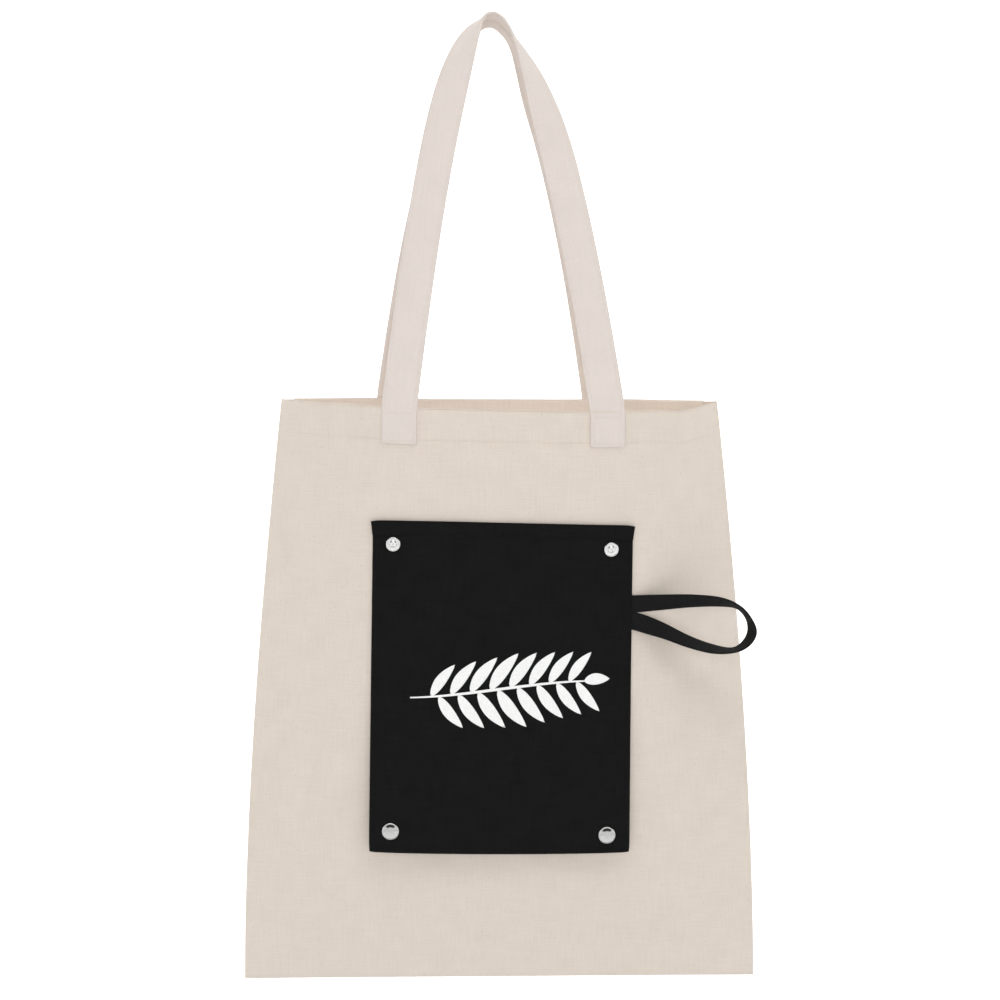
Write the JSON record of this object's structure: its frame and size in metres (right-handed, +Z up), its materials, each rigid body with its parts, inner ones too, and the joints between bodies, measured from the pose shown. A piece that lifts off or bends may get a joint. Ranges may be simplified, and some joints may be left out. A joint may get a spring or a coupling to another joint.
{
  "type": "foldable tote bag",
  "caption": "Flat cotton shopping tote with long handles, a snap-closed fabric pouch that the bag folds behind, and a tape wrist loop.",
  "frame": {"origin": "the point that the bag hangs from, under the crown of the two handles", "axes": "+X to the right of somebody looking at the pouch, +Y from the front panel through the bag to the back panel, +Z up"},
  "size_m": [0.381, 0.1272, 0.7142],
  "materials": {
    "canvas": "natural unbleached plain-weave cotton with seed flecks",
    "strap": "natural cotton strap, folded and stitched",
    "pouch": "black plain-weave cotton, matt",
    "tape": "black woven cotton tape",
    "snap": "nickel-plated press snaps"
  },
  "bodies": {
    "bag": {"front_panel": "canvas", "back_panel": "canvas", "front_hem": "canvas", "back_hem": "canvas", "left_seam": "canvas", "right_seam": "canvas", "front_handle_foot_left": "strap", "front_handle_foot_right": "strap", "back_handle_foot_left": "strap", "back_handle_foot_right": "strap", "pouch_back": "pouch", "pouch_front": "pouch", "pouch_hem": "pouch", "pouch_left_seam": "pouch", "pouch_right_seam": "pouch", "wrist_loop_anchor": "tape", "left_stud": "snap", "right_stud": "snap", "left_eyelet": "snap", "right_eyelet": "snap"},
    "bag_bottom": {"front_panel_bottom": "canvas", "back_panel_bottom": "canvas", "left_seam_bottom": "canvas", "right_seam_bottom": "canvas", "bottom_seam": "canvas"},
    "front_handle": {"front_handle": "strap"},
    "back_handle": {"back_handle": "strap"},
    "pouch_flap": {"flap_back": "pouch", "flap_front": "pouch", "flap_seam": "pouch", "left_cap": "snap", "right_cap": "snap", "left_socket": "snap", "right_socket": "snap"},
    "wrist_loop": {"wrist_loop": "tape"}
  },
  "joints": [
    {"name": "front_handle_swing", "type": "hinge", "parent": "bag", "child": "front_handle", "pos_m": [0, -0.064, -0.279], "axis": [1, 0, 0], "range_deg": [0, 150]},
    {"name": "back_handle_swing", "type": "hinge", "parent": "bag", "child": "back_handle", "pos_m": [0, 0.064, -0.279], "axis": [-1, 0, 0], "range_deg": [0, 150]},
    {"name": "pouch_flap_lift", "type": "hinge", "parent": "bag", "child": "pouch_flap", "pos_m": [-0.001, -0.04321, -0.48302], "axis": [-0.9998, 0, 0.0175], "range_deg": [0, 165]},
    {"name": "bottom_fold", "type": "hinge", "parent": "bag", "child": "bag_bottom", "pos_m": [0, 0.02563, -0.624], "axis": [1, 0, 0], "range_deg": [0, 170]},
    {"name": "wrist_loop_swing", "type": "hinge", "parent": "bag", "child": "wrist_loop", "pos_m": [0.09582, -0.04861, -0.42877], "axis": [0.0175, -0.1062, 0.9942], "range_deg": [-150, 0]}
  ]
}
